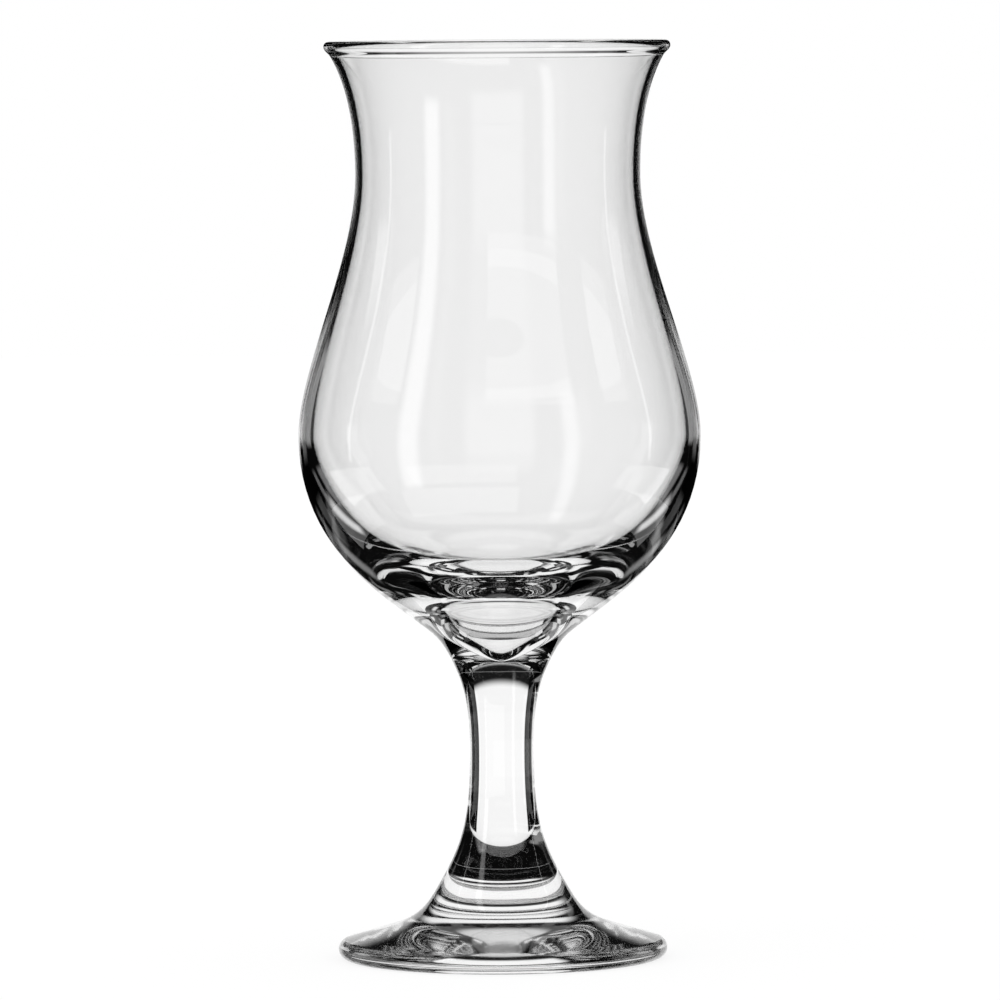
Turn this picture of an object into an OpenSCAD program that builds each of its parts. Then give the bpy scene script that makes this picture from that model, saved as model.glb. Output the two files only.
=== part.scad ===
// Poco grande glass: a tulip bowl on a short solid stem with a wide round foot.
// Three pieces of clear glass joined hot, end to end: bowl, stem and foot.
// Millimetres, +Z up, origin on the table at the middle of the foot.

/* [Bowl] */
// Height of the bowl, from the stem joint to the top of the rim
bowl_h = 128; // [120:1:145]
// Outside diameter over the rim bead
rim_d = 71.6; // [66:0.2:78]
// Thickness of the fire-polished bead round the rim
bead_d = 2.3; // [2:0.1:3.2]
// Lean of the wall just below the bead, outward from upright
lip_lean = 28.5; // [10:0.5:40]
// Outside diameter at the neck
neck_d = 59; // [52:0.2:64]
// Depth of the neck below the top of the rim
neck_drop = 27.8; // [22:0.2:34]
// Outside diameter of the belly, the widest part of the bowl
belly_d = 83.2; // [76:0.2:92]
// Height of the belly above the stem joint
belly_rise = 46.5; // [40:0.5:52]
// Outside diameter of the cone under the bowl, where it slopes most
cone_d = 28.6; // [26:0.2:34]
// Height of the cone diameter above the stem joint
cone_rise = 5.6; // [4.6:0.2:8]
// Lean of the cone, outward from upright
cone_lean = 50.4; // [44:0.2:56]

/* [Bowl wall] */
// Wall thickness just below the bead
lip_wall = 1.5; // [1.2:0.1:1.9]
// Wall thickness at the neck
neck_wall = 1.5; // [1.2:0.1:2.6]
// Wall thickness at the belly
belly_wall = 3.0; // [2.4:0.1:4.6]

/* [Well in the bottom of the bowl] */
// Solid glass between the stem joint and the bottom of the well
floor_h = 1.6; // [1.2:0.1:5]
// Inside diameter of the well where its side is steepest
well_d = 22.4; // [20:0.2:26]
// Height of that diameter above the stem joint
well_rise = 15; // [12:0.1:17]
// Lean of the side of the well there, outward from upright
well_lean = 20.5; // [12:0.5:36]
// Inside diameter of the shelf round the top of the well
shelf_d = 40; // [36:0.2:44]
// Height of the shelf above the stem joint
shelf_rise = 20.4; // [19:0.1:24]
// Lean of the shelf, outward from upright
shelf_lean = 75; // [64:0.5:82]

/* [Stem] */
// Length of the stem, from the foot joint to the bowl joint
stem_h = 48.5; // [42:0.5:80]
// Diameter of the joint between stem and bowl
joint_d = 20.5; // [18:0.1:23]
// Lean of the outline where it crosses the bowl joint
joint_lean = 26.3; // [16:0.1:36]
// Diameter of the stem at its waist
waist_d = 13.2; // [10:0.2:16]
// Height of the waist above the foot joint
waist_rise = 29.6; // [22:0.2:34]
// Diameter of the joint between stem and foot
ankle_d = 28.5; // [24:0.1:32]
// Lean of the outline where it crosses the foot joint, inward going up
ankle_lean = 30.7; // [22:0.1:42]

/* [Foot] */
// Height of the foot, from the table to the stem joint
foot_h = 13.5; // [11.5:0.1:17]
// Outside diameter of the foot
foot_d = 68.2; // [62:0.2:80]
// Radius of the rounded outer edge of the foot
edge_r = 2; // [1.4:0.1:2.4]
// Lean of the top of the foot where it meets the edge, inward going up
top_lean = 72.7; // [64:0.1:80]
// Inside diameter of the flat ring that rests on the table
rest_d = 53; // [46:0.5:58]
// Depth of the hollow under the foot, at its middle
hollow_h = 1.4; // [0.6:0.1:3]
// Slope of the hollow where it meets the resting ring
hollow_lean = 3; // [0:0.5:10]

/* [Flow of the outline] */
// Share of the lip curve that keeps to the lean of the lip
lip_pull = 0.33; // [0.2:0.01:0.5]
// Share of the curves above and below the neck that stays upright
neck_pull = 0.31; // [0.2:0.01:0.4]
// Share of the curve above the belly that stays upright
shoulder_pull = 0.25; // [0.15:0.01:0.4]
// Share of the curve below the belly that stays upright
belly_pull = 0.49; // [0.4:0.01:0.56]
// Share of the curve above the cone that keeps to the lean of the cone
cone_pull = 0.22; // [0.15:0.01:0.3]
// Share of the stem's top curve that keeps to the lean of the joint
joint_pull = 0.27; // [0.15:0.01:0.4]
// Share of the curves above and below the waist that stays upright
waist_pull = 0.52; // [0.4:0.01:0.6]
// Share of the curves above and below the foot joint that keeps to its lean
ankle_pull = 0.35; // [0.2:0.01:0.45]
// Share of the foot's top that keeps to the lean at its edge
edge_pull = 0.56; // [0.4:0.01:0.65]
// Share of the hollow that stays level round its middle
hollow_pull = 0.36; // [0.2:0.01:0.45]
// Share of the hollow that keeps to its slope at the resting ring
ring_pull = 0.28; // [0.2:0.01:0.45]
// Share of the curve in the bottom of the well that stays level
floor_pull = 0.16; // [0.05:0.01:0.3]
// Share of the curves above and below the side of the well that keeps to its lean
well_pull = 0.32; // [0.2:0.01:0.4]
// Share of the curves above and below the shelf that keeps to its lean
shelf_pull = 0.35; // [0.2:0.01:0.45]
// Share of the inside wall below the belly that stays upright
heel_pull = 0.31; // [0.22:0.01:0.45]

/* [Hidden] */

$fn = 144;
glass = [0.86, 0.91, 0.92, 0.45];

// Steps in each flowing curve, and in the shorter ones of the cone and the well
curve_steps = 24;
cone_steps = 8;
well_steps = 16;
level = 90;
upright = 0;

// Heights of the two joints and of the rim above the table
ankle_z = foot_h;
joint_z = foot_h + stem_h;
rim_z = joint_z + bowl_h;

// Places the outline runs through, as [radius, height]
bead_at = [rim_d / 2 - bead_d / 2, rim_z - bead_d / 2];
wall_out = [cos(lip_lean), -sin(lip_lean)];
lip_at = bead_at + lip_wall / 2 * wall_out;
neck_at = [neck_d / 2, rim_z - neck_drop];
belly_at = [belly_d / 2, joint_z + belly_rise];
cone_at = [cone_d / 2, joint_z + cone_rise];
joint_at = [joint_d / 2, joint_z];
waist_at = [waist_d / 2, ankle_z + waist_rise];
ankle_at = [ankle_d / 2, ankle_z];
edge_mid = [foot_d / 2 - edge_r, edge_r];
top_at = edge_mid + edge_r * [cos(top_lean), sin(top_lean)];

// Places on the inside of the bowl
lip_in = bead_at - lip_wall / 2 * wall_out;
neck_in = neck_at - [neck_wall, 0];
belly_in = belly_at - [belly_wall, 0];
shelf_at = [shelf_d / 2, joint_z + shelf_rise];
well_at = [well_d / 2, joint_z + well_rise];
floor_at = [0, joint_z + floor_h];

// Direction that leans out from straight up
function lean(angle) = [sin(angle), cos(angle)];

// Flowing curve from a to b: it leaves a and reaches b at the given leans
function flow(a, lean_a, pull_a, b, lean_b, pull_b, steps = curve_steps) =
    let (reach = norm(b - a))
    let (from_a = a + pull_a * reach * lean(lean_a))
    let (to_b = b - pull_b * reach * lean(lean_b))
    [for (i = [0 : steps]) let (t = i / steps, s = 1 - t)
        s * s * s * a + 3 * s * s * t * from_a + 3 * s * t * t * to_b + t * t * t * b];

// The same points without the last one, and in the opposite order
function shorten(points) = [for (i = [0 : len(points) - 2]) points[i]];
function turn(points) = [for (i = [len(points) - 1 : -1 : 0]) points[i]];

// Outside of the bowl, going up from the stem joint
cone_pulls = 1 / 3;
bowl_outside = concat(
    shorten(flow(joint_at, joint_lean, cone_pulls, cone_at, cone_lean, cone_pulls, cone_steps)),
    shorten(flow(cone_at, cone_lean, cone_pull, belly_at, upright, belly_pull)),
    shorten(flow(belly_at, upright, shoulder_pull, neck_at, upright, neck_pull)),
    flow(neck_at, upright, neck_pull, lip_at, lip_lean, lip_pull)
);

// Inside of the bowl, going up from the middle of its bottom
bowl_inside = concat(
    shorten(flow(floor_at, level, floor_pull, well_at, well_lean, well_pull, well_steps)),
    shorten(flow(well_at, well_lean, well_pull, shelf_at, shelf_lean, shelf_pull, well_steps)),
    shorten(flow(shelf_at, shelf_lean, shelf_pull, belly_in, upright, heel_pull)),
    shorten(flow(belly_in, upright, shoulder_pull, neck_in, upright, neck_pull)),
    flow(neck_in, upright, neck_pull, lip_in, lip_lean, lip_pull)
);

// Outside of the stem, going up from the foot joint
stem_outside = concat(
    shorten(flow(ankle_at, -ankle_lean, ankle_pull, waist_at, upright, waist_pull)),
    flow(waist_at, upright, waist_pull, joint_at, joint_lean, joint_pull)
);

// Rounded edge of the foot, going up from the table
edge_steps = 16;
edge_round = [for (i = [0 : edge_steps - 1])
    let (angle = -level + i / edge_steps * (level + top_lean))
    edge_mid + edge_r * [cos(angle), sin(angle)]];

// Top of the foot, going up from its edge to the stem joint
foot_top = flow(top_at, -top_lean, edge_pull, ankle_at, -ankle_lean, ankle_pull);

// Hollow under the foot: it flows from its middle down to the resting ring
hollow_side = flow([0, hollow_h], level, hollow_pull, [rest_d / 2, 0], level + hollow_lean, ring_pull);

// Brimful capacity of the bowl
function slice(a, b) = PI / 3 * (b.y - a.y) * (a.x * a.x + a.x * b.x + b.x * b.x);
function fill(points, i = 0) =
    i < len(points) - 1 ? slice(points[i], points[i + 1]) + fill(points, i + 1) : 0;
echo(brimful_ml = fill(bowl_inside) / 1000, height_mm = rim_z);

// Blown bowl with a beaded rim and a thick bottom that holds a narrow well
module bowl() {
    color(glass)
        rotate_extrude() {
            polygon(concat([[0, joint_z]], bowl_outside, turn(bowl_inside)));
            translate(bead_at)
                circle(d = bead_d);
        }
}

// Solid drawn stem, narrowest at its waist and flaring to both joints
module stem() {
    color(glass)
        rotate_extrude()
            polygon(concat([[0, ankle_z]], stem_outside, [[0, joint_z]]));
}

// Pressed foot with a rounded edge, hollow underneath so that it rests on a ring
module foot() {
    color(glass)
        rotate_extrude()
            polygon(concat(hollow_side, edge_round, foot_top, [[0, ankle_z]]));
}

bowl();
stem();
foot();
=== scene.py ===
# %% [markdown]
# # A tulip-shaped cocktail glass
# The glass is three pieces of clear glass that were joined while hot: a blown bowl, a solid stem
# and a pressed foot. The imported model is loaded first, because every piece has to sit exactly where
# its solid is.

# %% Load the fixed frame
import bmesh
import bpy
import math
from mathutils import Matrix, Vector


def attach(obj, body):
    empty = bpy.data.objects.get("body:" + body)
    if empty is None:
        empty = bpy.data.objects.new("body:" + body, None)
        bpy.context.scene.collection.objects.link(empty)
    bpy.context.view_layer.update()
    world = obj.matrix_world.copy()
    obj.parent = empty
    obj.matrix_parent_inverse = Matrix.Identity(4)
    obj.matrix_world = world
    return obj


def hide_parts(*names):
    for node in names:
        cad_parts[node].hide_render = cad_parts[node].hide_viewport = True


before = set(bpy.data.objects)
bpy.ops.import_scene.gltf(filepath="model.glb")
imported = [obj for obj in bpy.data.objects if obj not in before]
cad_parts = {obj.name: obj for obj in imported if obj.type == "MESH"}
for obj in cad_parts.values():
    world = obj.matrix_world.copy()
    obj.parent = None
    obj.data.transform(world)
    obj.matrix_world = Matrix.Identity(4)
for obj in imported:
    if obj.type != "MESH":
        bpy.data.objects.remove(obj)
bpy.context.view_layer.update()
scene = bpy.context.scene

# %% [markdown]
# ## Camera
# The photograph was taken from far off with a long lens, a little above the middle of the glass:
# the rim and the foot show as very thin ellipses. The camera stands there and aims at the middle,
# and it is turned a fraction of a degree, because the glass leans that much in the picture.

# %% Camera
EYE = Vector((0.0, -1.75, 0.198))
AIM = Vector((0.0, 0.0, 0.095))
LENS_MM = 305.0
SENSOR_MM = 36.0
ROLL = math.radians(-0.4)

lens = bpy.data.cameras.new("camera")
lens.sensor_fit = "HORIZONTAL"
lens.sensor_width = SENSOR_MM
lens.lens = LENS_MM
camera = bpy.data.objects.new("camera", lens)
facing = (AIM - EYE).to_track_quat("-Z", "Y").to_matrix().to_4x4()
camera.matrix_world = Matrix.Translation(EYE) @ facing @ Matrix.Rotation(ROLL, 4, "Z")
scene.collection.objects.link(camera)
scene.camera = camera
print("camera", round((AIM - EYE).length, 3), "m away")

# %% [markdown]
# ## Drawing an outline
# Every piece is round, so each one is half an outline that is spun about the upright axis. An outline
# could be typed in as hundreds of points, but a glass is a few places joined by flowing curves. So each
# place is a point with a lean, as a Bezier point with two handles is in the editor, and Blender's own
# curve works out what lies between. A pull says how long a handle is, as a share of the way to the
# next place: a long handle keeps the curve on its lean for longer. One certain pull draws a round arc.

# %% Outline
MM = 0.001
SPAN_STEPS = 24
LEVEL, UPRIGHT, DOWN = 90.0, 0.0, 180.0


def lean(angle):
    """Direction that leans out from straight up, as (outward, up)."""
    return Vector((math.sin(math.radians(angle)), math.cos(math.radians(angle))))


def arc_pull(angle):
    """Pull at both ends that makes a curve the arc of a circle through the given angle."""
    turned = math.radians(angle)
    return 4 / 3 * math.tan(turned / 4) / (2 * math.sin(turned / 2))


def outline(places):
    """Wire mesh through places of (radius, height, lean in, pull in, lean out, pull out), in millimetres."""
    drawn = bpy.data.curves.new("outline", "CURVE")
    drawn.dimensions = "3D"
    drawn.resolution_u = SPAN_STEPS
    spline = drawn.splines.new("BEZIER")
    spline.bezier_points.add(len(places) - 1)
    for i, (radius, height, lean_in, pull_in, lean_out, pull_out) in enumerate(places):
        here = Vector((radius, height))
        before = Vector(places[max(i - 1, 0)][:2])
        after = Vector(places[min(i + 1, len(places) - 1)][:2])
        left = here - pull_in * (here - before).length * lean(lean_in)
        right = here + pull_out * (after - here).length * lean(lean_out)
        point = spline.bezier_points[i]
        point.handle_left_type = point.handle_right_type = "FREE"
        for name, at in (("co", here), ("handle_left", left), ("handle_right", right)):
            setattr(point, name, (at.x * MM, 0, at.y * MM))
    holder = bpy.data.objects.new("outline", drawn)
    wire = bpy.data.meshes.new_from_object(holder)
    bpy.data.objects.remove(holder)
    bpy.data.curves.remove(drawn)
    return wire


QUARTER = arc_pull(90)
print("pull of a quarter circle", round(QUARTER, 4))

# %% [markdown]
# ## Spinning it
# The spin operator carries the wire once round the axis. Points on the axis then lie on top of each
# other, so they are merged, an end that isn't on the axis is closed by a flat face, and the normals are
# worked out again, because spin can leave a shape inside out. Light bends at every face of clear glass,
# so a gap or a turned face would show: the number of open edges and the volume are printed.

# %% Spin
TURN_STEPS = 192
CREASE = math.radians(30.0)
MERGE_M = 1e-6
ML_PER_M3 = 1e6


def spun(name, places):
    """Closed round piece from half an outline, with its edges smooth up to the crease angle."""
    shape = bmesh.new()
    wire = outline(places)
    shape.from_mesh(wire)
    bpy.data.meshes.remove(wire)
    geometry = list(shape.verts) + list(shape.edges)
    bmesh.ops.spin(shape, geom=geometry, cent=(0, 0, 0), axis=(0, 0, 1), angle=2 * math.pi,
                   steps=TURN_STEPS, use_merge=True)
    bmesh.ops.remove_doubles(shape, verts=shape.verts, dist=MERGE_M)
    bmesh.ops.holes_fill(shape, edges=[edge for edge in shape.edges if edge.is_boundary])
    bmesh.ops.recalc_face_normals(shape, faces=shape.faces)
    for face in shape.faces:
        face.smooth = True
    for edge in shape.edges:
        edge.smooth = edge.calc_face_angle(0) < CREASE
    open_edges = sum(not edge.is_manifold for edge in shape.edges)
    volume = round(shape.calc_volume(signed=True) * ML_PER_M3, 1)
    mesh = bpy.data.meshes.new(name)
    shape.to_mesh(mesh)
    shape.free()
    piece = bpy.data.objects.new(name, mesh)
    scene.collection.objects.link(piece)
    print(name, len(mesh.polygons), "faces,", open_edges, "open edges,", volume, "ml of glass")
    return piece


# %% [markdown]
# ## Bowl
# The bowl was blown into a mould. Going up from the stem joint, its outside flares into a cone, swells to
# the belly, draws in at the neck and leans out again to the lip. The upright places are the widest and
# the narrowest ones, so these four say nearly all of the shape.

# %% Outside of the bowl
JOINT_R = 10.25
JOINT_Z = 62.0
JOINT_LEAN = 26.3
FLARE_PULL = 0.333
CONE_AT = (14.3, 67.6)
CONE_LEAN = 50.4
CONE_PULL = 0.22
BELLY_R = 41.6
BELLY_Z = 108.5
BELLY_PULL = 0.49
SHOULDER_PULL = 0.25
NECK_R = 29.5
NECK_Z = 162.2
NECK_PULL = 0.31

outside = [
    (JOINT_R, JOINT_Z, JOINT_LEAN, 0, JOINT_LEAN, FLARE_PULL),
    (*CONE_AT, CONE_LEAN, FLARE_PULL, CONE_LEAN, CONE_PULL),
    (BELLY_R, BELLY_Z, UPRIGHT, BELLY_PULL, UPRIGHT, SHOULDER_PULL),
    (NECK_R, NECK_Z, UPRIGHT, NECK_PULL, UPRIGHT, NECK_PULL),
]
print("outside of the bowl through", len(outside), "places")

# %% [markdown]
# ## Rim
# The edge of the bowl was melted in a flame, and the soft glass drew up into a small round bead. It could
# be a ring laid on the wall, but one skin shows no seam, so the outline goes round the bead in two quarter
# circles on its way from the outside to the inside.

# %% Rim
LIP_LEAN = 28.5
LIP_WALL = 1.5
LIP_DROP = 2.2
LIP_PULL = 0.33
RIM_R = 35.8
RIM_Z = 190.0
BEAD_R = 1.15
TO_BEAD_PULL = 0.45
BEAD_PULL = 0.35

along = lean(LIP_LEAN)
across = Vector((along.y, -along.x))
bead_at = Vector((RIM_R - BEAD_R, RIM_Z - BEAD_R))
lip_out = bead_at + LIP_WALL / 2 * across - LIP_DROP * along
lip_in = bead_at - LIP_WALL / 2 * across - LIP_DROP * along
bead_out, bead_top, bead_in = (bead_at + BEAD_R * side for side in (across, along, -across))
rim = [
    (*lip_out, LIP_LEAN, LIP_PULL, LIP_LEAN, TO_BEAD_PULL),
    (*bead_out, LIP_LEAN, BEAD_PULL, LIP_LEAN, QUARTER),
    (*bead_top, LIP_LEAN - LEVEL, QUARTER, LIP_LEAN - LEVEL, QUARTER),
    (*bead_in, LIP_LEAN - DOWN, QUARTER, LIP_LEAN - DOWN, BEAD_PULL),
    (*lip_in, LIP_LEAN - DOWN, TO_BEAD_PULL, LIP_LEAN - DOWN, LIP_PULL),
]
print("rim through", len(rim), "places")

# %% [markdown]
# ## Inside of the bowl
# The wall is thin at the neck and grows thicker towards the belly, and the glass gathers at the bottom,
# where a shelf surrounds a narrow well that reaches down almost to the stem. The well can't be touched
# from outside, but it makes most of the pattern of black and white that the lower bowl shows, so its shape
# matters as much as the outside. An even wall would be easier, but it wouldn't look like this glass. The
# outline goes down here, so its leans are turned by half a turn.

# %% Inside of the bowl
NECK_WALL = 1.5
BELLY_WALL = 3.0
HEEL_PULL = 0.31
SHELF_AT = (20.0, 82.4)
SHELF_LEAN = 75.0
SHELF_PULL = 0.35
WELL_AT = (11.2, 77.0)
WELL_LEAN = 20.5
WELL_PULL = 0.32
WELL_FLOOR_Z = 63.6
WELL_FLOOR_PULL = 0.16

inside = [
    (NECK_R - NECK_WALL, NECK_Z, DOWN, NECK_PULL, DOWN, NECK_PULL),
    (BELLY_R - BELLY_WALL, BELLY_Z, DOWN, SHOULDER_PULL, DOWN, HEEL_PULL),
    (*SHELF_AT, SHELF_LEAN - DOWN, SHELF_PULL, SHELF_LEAN - DOWN, SHELF_PULL),
    (*WELL_AT, WELL_LEAN - DOWN, WELL_PULL, WELL_LEAN - DOWN, WELL_PULL),
    (0.0, WELL_FLOOR_Z, -LEVEL, WELL_FLOOR_PULL, -LEVEL, 0),
]
bowl = spun("glass_bowl", outside + rim + inside)

# %% [markdown]
# ## Stem
# The stem is solid. It was drawn out while hot, which is why it is narrowest near the middle and flares
# into both of its joints. Its outline leaves each joint with the same lean as the piece beyond it, so that
# the joint doesn't show as a bend.

# %% Stem
ANKLE_R = 14.25
ANKLE_Z = 13.5
ANKLE_LEAN = -30.7
ANKLE_PULL = 0.35
WAIST_R = 6.6
WAIST_Z = 43.1
WAIST_PULL = 0.52
JOINT_PULL = 0.27

stem = spun("glass_stem", [
    (ANKLE_R, ANKLE_Z, ANKLE_LEAN, 0, ANKLE_LEAN, ANKLE_PULL),
    (WAIST_R, WAIST_Z, UPRIGHT, WAIST_PULL, UPRIGHT, WAIST_PULL),
    (JOINT_R, JOINT_Z, JOINT_LEAN, JOINT_PULL, JOINT_LEAN, 0),
])

# %% [markdown]
# ## Foot
# The foot was pressed. Its top falls away from the stem to a rounded edge, and the underside is slightly
# hollow, so that the glass stands on a ring and doesn't rock. The edge is two arcs of one circle: a
# quarter from the table to its widest place, and the rest of the way to the lean of the top.

# %% Foot
FOOT_R = 34.1
EDGE_R = 2.0
TOP_LEAN = 72.7
TOP_PULL = 0.56
REST_R = 26.5
REST_PULL = 0.3
HOLLOW_Z = 1.4
HOLLOW_LEAN = 3.0
HOLLOW_PULL = 0.36
RING_PULL = 0.28

edge_at = Vector((FOOT_R - EDGE_R, EDGE_R))
edge_top = edge_at + EDGE_R * lean(LEVEL - TOP_LEAN)
edge_pull = arc_pull(TOP_LEAN)
foot = spun("glass_foot", [
    (0.0, HOLLOW_Z, LEVEL, 0, LEVEL, HOLLOW_PULL),
    (REST_R, 0.0, LEVEL + HOLLOW_LEAN, RING_PULL, LEVEL, REST_PULL),
    (edge_at.x, 0.0, LEVEL, REST_PULL, LEVEL, QUARTER),
    (FOOT_R, edge_at.y, UPRIGHT, QUARTER, UPRIGHT, edge_pull),
    (*edge_top, -TOP_LEAN, edge_pull, -TOP_LEAN, TOP_PULL),
    (ANKLE_R, ANKLE_Z, ANKLE_LEAN, ANKLE_PULL, ANKLE_LEAN, 0),
])

# %% [markdown]
# ## Nodes as arithmetic
# A material or a world is a tree of nodes. Small sums are easier to read as sums, so one class holds a
# socket, and each operator on it adds a Math node. Every other node goes through the same method, add.


# %% Wire
class Wire:
    """A socket on its way through a node tree."""

    def __init__(self, tree, socket=None):
        self.tree = tree
        self.socket = socket

    def add(self, kind, settings=None, inputs=None, output=0):
        """New node: its settings first, then a value or a link for each input named."""
        node = self.tree.nodes.new("ShaderNode" + kind)
        for name, value in (settings or {}).items():
            setattr(node, name, value)
        for name, value in (inputs or {}).items():
            if isinstance(value, Wire):
                self.tree.links.new(value.socket, node.inputs[name])
            else:
                node.inputs[name].default_value = value
        return Wire(self.tree, node.outputs[output] if len(node.outputs) else None)

    def maths(self, operation, first, second=0.0):
        return self.add("Math", {"operation": operation}, {0: first, 1: second})

    def __add__(self, other):
        return self.maths("ADD", self, other)

    __radd__ = __add__

    def __mul__(self, other):
        return self.maths("MULTIPLY", self, other)

    __rmul__ = __mul__

    def __sub__(self, other):
        return self.maths("SUBTRACT", self, other)

    def __rsub__(self, other):
        return self.maths("SUBTRACT", other, self)

    def __abs__(self):
        return self.maths("ABSOLUTE", self)

    def larger(self, other):
        return self.maths("MAXIMUM", self, other)

    def at_least(self, count):
        """1 where a whole number is count or more, 0 elsewhere."""
        return self.maths("GREATER_THAN", self, count - 0.5)

    def ramp(self, low, high):
        """0 below low, 1 above high, and smooth between."""
        return self.add("MapRange", {"interpolation_type": "SMOOTHSTEP"},
                        {"Value": self, "From Min": low, "From Max": high})


# %% [markdown]
# ## Clear glass
# All three pieces are one clear, colourless soda-lime glass with a fire-polished skin. Where two pieces
# were fused, no surface is left between them, so the touching faces have no alpha and light goes straight
# on. Blown and pressed glass is never quite even: slow waves of two hundredths of a millimetre bend what is
# seen through it, and the pressed foot keeps a faint grain from its mould, which fades out towards the stem.

# %% Glass
WHITE = (1.0, 1.0, 1.0, 1.0)
GLASS_IOR = 1.52
SKIN_M = 0.00001
WAVES_PER_M = 55.0
WAVE_M = 0.00002
MOULD_GRAIN = 0.05
GRAIN_Z = (0.008, 0.0135)

clear_glass = bpy.data.materials.new("clear_glass")
clear_glass.use_nodes = True
glass_nodes = clear_glass.node_tree
glass_nodes.nodes.clear()
start = Wire(glass_nodes)
place = start.add("TexCoord", output="Object")
height = start.add("SeparateXYZ", inputs={0: place}, output="Z")
joints = [abs(height - z * MM).ramp(SKIN_M, 2 * SKIN_M) for z in (JOINT_Z, ANKLE_Z)]
waves = start.add("TexNoise", inputs={"Vector": place, "Scale": WAVES_PER_M, "Detail": 1.0}, output="Fac")
ripple = start.add("Bump", inputs={"Height": waves, "Strength": 1.0, "Distance": WAVE_M}, output="Normal")
grain = MOULD_GRAIN * (1 - height.ramp(*GRAIN_Z))
skin = start.add("BsdfPrincipled", inputs={
    "Base Color": WHITE,
    "Roughness": grain,
    "IOR": GLASS_IOR,
    "Transmission Weight": 1.0,
    "Alpha": joints[0] * joints[1],
    "Normal": ripple,
})
start.add("OutputMaterial", inputs={"Surface": skin})
for piece, node in ((bowl, "bowl"), (stem, "stem"), (foot, "foot")):
    piece.data.materials.append(clear_glass)
    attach(piece, "root")
    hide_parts(node)
print("glass of", len(glass_nodes.nodes), "nodes on", [piece.name for piece in (bowl, stem, foot)])

# %% [markdown]
# ## Studio
# Clear glass has no colour of its own: it shows the room. Photographers therefore light it from behind with
# one bright white panel and keep the rest of the room dark, so that the flat parts look white and the
# edges, which bend the light most, pick up the dark and are drawn as black lines. The world here is that
# room, written as a brightness for each direction: turn is the angle away from the view, lift the angle
# above the level. Light that went straight through the glass, and was never mirrored inside it, shows the
# white paper on every side, as what the camera sees directly is plain white paper too. The Light Path node
# tells these kinds of light apart. A brightness of 1 is white.

# %% Directions
room = bpy.data.worlds.new("studio")
scene.world = room
room.use_nodes = True
room_nodes = room.node_tree
room_nodes.nodes.clear()
begin = Wire(room_nodes)
way = begin.add("TexCoord", output="Generated")
way_x, way_y, way_z = (begin.add("SeparateXYZ", inputs={0: way}, output=axis) for axis in "XYZ")
turn = begin.maths("ARCTAN2", way_x, way_y) * math.degrees(1)
lift = begin.maths("ARCSINE", way_z) * math.degrees(1)
aside = abs(turn)


def between(value, low, high, soft):
    """1 where value lies between low and high, 0 elsewhere, with soft ends."""
    return value.ramp(low - soft / 2, low + soft / 2) * (1 - value.ramp(high - soft / 2, high + soft / 2))


def light(sideways, turns, lifts, brightness):
    """Soft-edged patch of the room: turns and lifts are (low, high, softness) in degrees."""
    return between(sideways, *turns) * between(lift, *lifts) * brightness


def passed(wire, surfaces):
    """1 for light that crossed at least so many surfaces of glass and was never mirrored."""
    crossed = wire.add("LightPath", output="Transmission Depth").at_least(surfaces)
    mirrored = wire.add("LightPath", output="Glossy Depth").at_least(1)
    return crossed * (1 - mirrored)


print("directions from", len(room_nodes.nodes), "nodes")

# %% [markdown]
# ## Lights of the room
# The bright panel stands behind the glass, with a softer light high above it and a dim one between. Narrow
# strips at the front and sides are the highlights on the outside of the bowl. Inside the glass they count for
# little, or they would wander through it as bright specks. A weak light from the front fills the inside.

# %% Room
# Degrees, as (low, high, softness) or as the two ends of a soft edge. A light is turns, lifts, brightness.
DARK = 0.003
PANEL_TURNS = (-27.0, 35.0, 12.0)
PANEL_FOOT = (-50.0, -44.0)
PAPER_TOP = (15.0, 23.0)
OVERHEAD = ((-38.0, 38.0, 8.0), (38.0, 65.0, 8.0), 0.65)
DIM = ((-38.0, 38.0, 8.0), (20.0, 40.0, 4.0), 0.01)
LEFT_STRIP = ((-132.0, -120.0, 6.0), (-25.0, 68.0, 8.0), 2.6)
RIGHT_STRIP = ((134.0, 143.0, 6.0), (-48.0, 22.0, 8.0), 2.0)
SIDE_STRIPS = ((83.0, 85.0, 2.0), (-10.0, 60.0, 2.0), 2.0)
STRIP_IN_GLASS = 0.1
FRONT_TURN = (155.0, 162.0)
FRONT_LIFTS = (-30.0, 30.0, 8.0)
FRONT = 0.45

seen, bounced, depth = (begin.add("LightPath", output=name)
                        for name in ("Is Camera Ray", "Is Diffuse Ray", "Transmission Depth"))
in_glass = depth.at_least(1)
below = 1 - lift.ramp(*PAPER_TOP)
panel = between(turn, *PANEL_TURNS) * lift.ramp(*PANEL_FOOT) * below
strips = light(turn, *LEFT_STRIP) + light(turn, *RIGHT_STRIP) + light(aside, *SIDE_STRIPS)
strips = strips * (1 - (1 - STRIP_IN_GLASS) * in_glass)
front = aside.ramp(*FRONT_TURN) * between(lift, *FRONT_LIFTS) * FRONT * in_glass
lights = panel + light(turn, *OVERHEAD) + light(turn, *DIM) + strips + front
studio = lights.larger(DARK).larger(passed(begin, 2) * below)
paper = begin.add("Background", inputs={"Color": studio.larger(seen).larger(bounced)})
begin.add("OutputWorld", inputs={"Surface": paper})
print("room of", len(room_nodes.nodes), "nodes")

# %% [markdown]
# ## Cards
# A dark room alone gives soft grey edges, so cards stand close to the glass, just out of the picture, as in
# a real studio. A card could be a scaled plane, but it is a line on the table that is drawn up to a height,
# so that a bent card is as easy as a flat one. Cards glow by themselves, and the camera doesn't see them.


# %% Card making
def blank(name):
    """New material without nodes, and the start of its node tree."""
    paper = bpy.data.materials.new(name)
    paper.use_nodes = True
    paper.node_tree.nodes.clear()
    return paper, Wire(paper.node_tree)


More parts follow.
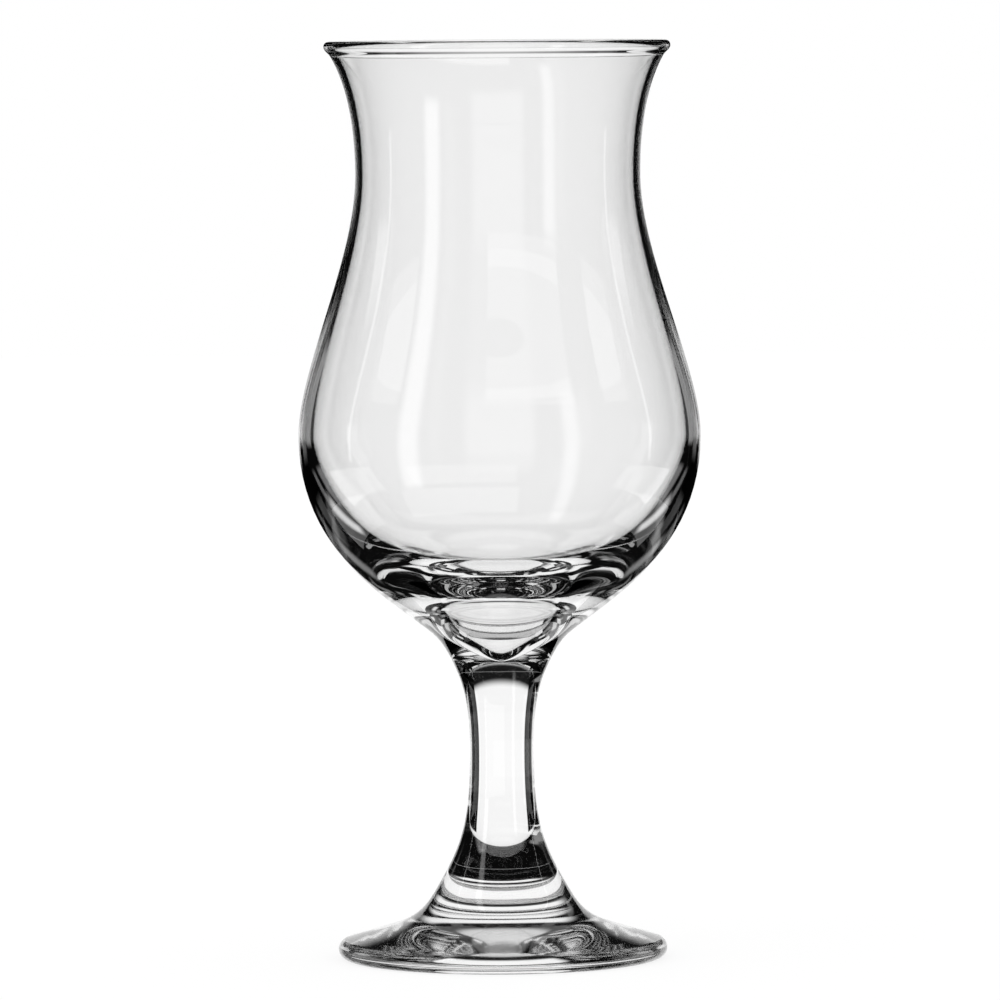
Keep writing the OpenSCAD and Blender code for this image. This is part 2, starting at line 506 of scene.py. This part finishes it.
def glowing(wire, shade):
    """Glow of the given shade: a number, or a wire where it varies over the card."""
    colour = shade if isinstance(shade, Wire) else (shade, shade, shade, 1.0)
    return wire.add("Emission", inputs={"Color": colour})


def set_up(name, shape, paper):
    """Turns a drawn card into an object of the studio that the camera doesn't see."""
    board = bpy.data.meshes.new(name)
    shape.to_mesh(board)
    shape.free()
    board.materials.append(paper)
    card = bpy.data.objects.new(name, board)
    scene.collection.objects.link(card)
    card.visible_camera = card.visible_diffuse = card.visible_shadow = False
    print(name, "of", [round(side, 3) for side in card.dimensions], "m")


def standing_card(name, line, heights, paper):
    """Card that stands on a line of (x, y) points, from one height to another."""
    low, high = heights
    shape = bmesh.new()
    points = [shape.verts.new((x, y, low)) for x, y in line]
    edges = [shape.edges.new(pair) for pair in zip(points, points[1:])]
    raised = bmesh.ops.extrude_edge_only(shape, edges=edges)["geom"]
    top = [vert for vert in raised if isinstance(vert, bmesh.types.BMVert)]
    bmesh.ops.translate(shape, verts=top, vec=(0, 0, high - low))
    set_up(name, shape, paper)


# %% [markdown]
# ## Black cards for the bowl
# Light that is mirrored inside the wall of the bowl leaves it far to the side, and there it meets a black
# card: that draws the lines down the bowl. Light that came straight through sees the same card as white
# paper. The lines grow paler round the belly, where the card glows with painted light in place of a gap,
# and painted light in glowing grey bands and a bright glowing window lower down leaves streaks in the
# thick glass. Out is how far a spot lies to the side.

# %% Black cards for the bowl
BOWL_LINE = ((0.040, 0.056), (0.075, 0.030))
BOWL_CARD_Z = (0.012, 0.30)
# Metres, as (low, high, softness) or as the two ends of a soft edge. The single numbers are shades of the
# card's painted light.
BELLY_LIGHT_Z = (0.100, 0.130, 0.008)
NEAR_BELLY_LIGHT_END = (0.0545, 0.0555)
NEAR_BELLY_LIGHT = 0.85
FAR_BELLY_LIGHT_OUT = (0.0625, 0.0695, 0.001)
FAR_BELLY_LIGHT = 0.35
BAND_LIGHT_Z = (0.057, 0.082, 0.006)
NEAR_BAND_LIGHT_OUT = (0.0545, 0.060, 0.003)
FAR_BAND_LIGHT_START = (0.064, 0.067)
BAND_LIGHT = 0.22
WINDOW_LIGHT_Z = (0.040, 0.066, 0.008)
WINDOW_LIGHT_OUT = (0.054, 0.062, 0.006)
WINDOW_LIGHT = 0.85

bowl_black, wire = blank("black_card_bowl")
spot = wire.add("TexCoord", output="Object")
spot_x, spot_z = (wire.add("SeparateXYZ", inputs={0: spot}, output=axis) for axis in "XZ")
out = abs(spot_x)
# Painted light on the card: a pale glow round the belly, glowing grey bands, and a bright glowing window
# lower down.
painted_belly_light = NEAR_BELLY_LIGHT * (1 - out.ramp(*NEAR_BELLY_LIGHT_END)) + FAR_BELLY_LIGHT * between(out, *FAR_BELLY_LIGHT_OUT)
painted_band_light = between(out, *NEAR_BAND_LIGHT_OUT) + out.ramp(*FAR_BAND_LIGHT_START)
painted_window_light = between(out, *WINDOW_LIGHT_OUT) * between(spot_z, *WINDOW_LIGHT_Z) * WINDOW_LIGHT
shade = between(spot_z, *BELLY_LIGHT_Z) * painted_belly_light + between(spot_z, *BAND_LIGHT_Z) * painted_band_light * BAND_LIGHT
shade = shade.larger(painted_window_light).larger(DARK).larger(passed(wire, 2))
wire.add("OutputMaterial", inputs={"Surface": glowing(wire, shade)})
for name, side in (("left", -1), ("right", 1)):
    standing_card("black_card_bowl_" + name, [(side * x, y) for x, y in BOWL_LINE], BOWL_CARD_Z, bowl_black)

# %% [markdown]
# ## Black cards for the stem, and painted shade under the foot
# The stem is a solid rod and works as a strong lens: light goes straight through it, but near its edges it
# is bent far aside. So its lines come from cards that are black only for light that crossed the glass once,
# which is two surfaces. A black disc under the foot is painted shade beneath it, and makes the black band
# at the bottom of the stem, seen by light that crossed four. For all other light these cards are clear, or
# they would darken the foot.

# %% Black cards for the stem, and painted shade under the foot
STEM_LINE = ((0.033, 0.056), (0.055, 0.036))
STEM_CARD_Z = (-0.012, 0.110)
UNDER_R = 0.033
UNDER_Z = -0.0005
UNDER_SIDES = 48


def black_for(name, surfaces):
    """Paper that is black for light that went straight through so many surfaces or one more, else clear."""
    paper, wire = blank(name)
    chosen = passed(wire, surfaces) * (1 - passed(wire, surfaces + 2))
    both = wire.add("MixShader", inputs={0: chosen, 1: wire.add("BsdfTransparent"), 2: glowing(wire, DARK)})
    wire.add("OutputMaterial", inputs={"Surface": both})
    return paper


stem_black = black_for("black_card_stem", 2)
for name, side in (("left", -1), ("right", 1)):
    standing_card("black_card_stem_" + name, [(side * x, y) for x, y in STEM_LINE], STEM_CARD_Z, stem_black)
# The disc is painted shade under the foot: black only for light that crossed four surfaces, else clear.
disc = bmesh.new()
bmesh.ops.create_circle(disc, cap_ends=True, segments=UNDER_SIDES, radius=UNDER_R,
                        matrix=Matrix.Translation((0, 0, UNDER_Z)))
set_up("painted_shade_under_foot", disc, black_for("painted_shade_under_foot", 4))

# %% [markdown]
# ## White cards
# The foot is low and wide, and it looks out to the sides and the front, where the room is dark. Low white
# cards bent round it brighten it. Each is an arc between two turns, counted as in the room.

# %% White cards
WHITE_CARDS = {"white_card_left": (-100.0, -60.0), "white_card_right": (60.0, 103.0),
               "white_card_front": (-190.0, -125.0)}
WHITE_REACH = 0.15
WHITE_CARD_Z = (-0.01, 0.045)
WHITE_SHADE = 0.9
BEND_STEPS = 8

white_paper, wire = blank("white_card")
shade = passed(wire, 2).larger(WHITE_SHADE)
wire.add("OutputMaterial", inputs={"Surface": glowing(wire, shade)})
for name, (first, last) in WHITE_CARDS.items():
    turns = [math.radians(first + (last - first) * i / BEND_STEPS) for i in range(BEND_STEPS + 1)]
    line = [(WHITE_REACH * math.sin(angle), WHITE_REACH * math.cos(angle)) for angle in turns]
    standing_card(name, line, WHITE_CARD_Z, white_paper)

# %% [markdown]
# ## Floor
# The glass stands on plain white paper that runs back until it is lost. Most of its white is a glow of its
# own, so that it stays as white as the background at any distance. The rest is lit by the room, and there
# the foot leaves its faint shadow. Light that has met the glass doesn't see the floor, but the room.

# %% Floor
FLOOR_HALF = 3.0
FLOOR_COLOUR = (0.9, 0.9, 0.9, 1.0)
FLOOR_GLOW = 1.03
GLOW_SHARE = 0.85

floor_shape = bmesh.new()
bmesh.ops.create_grid(floor_shape, x_segments=1, y_segments=1, size=FLOOR_HALF)
floor_mesh = bpy.data.meshes.new("paper_floor")
floor_shape.to_mesh(floor_mesh)
floor_shape.free()
floor = bpy.data.objects.new("paper_floor", floor_mesh)
scene.collection.objects.link(floor)
floor.visible_transmission = floor.visible_glossy = False

floor_paper, wire = blank("paper_floor")
lit = wire.add("BsdfDiffuse", inputs={"Color": FLOOR_COLOUR})
both = wire.add("MixShader", inputs={0: GLOW_SHARE, 1: lit, 2: glowing(wire, FLOOR_GLOW)})
wire.add("OutputMaterial", inputs={"Surface": both})
floor_mesh.materials.append(floor_paper)
print("floor", 2 * FLOOR_HALF, "m wide")

# %% [markdown]
# In the thick bottom of the bowl light is bent and mirrored many times, so the number of bounces is raised.

# %% Finish
BOUNCES = 32
GLOSSY_BOUNCES = 16

scene.view_settings.view_transform = "Standard"
scene.cycles.max_bounces = BOUNCES
scene.cycles.transmission_bounces = BOUNCES
scene.cycles.glossy_bounces = GLOSSY_BOUNCES
scene.cycles.transparent_max_bounces = BOUNCES
scene.cycles.caustics_reflective = scene.cycles.caustics_refractive = False
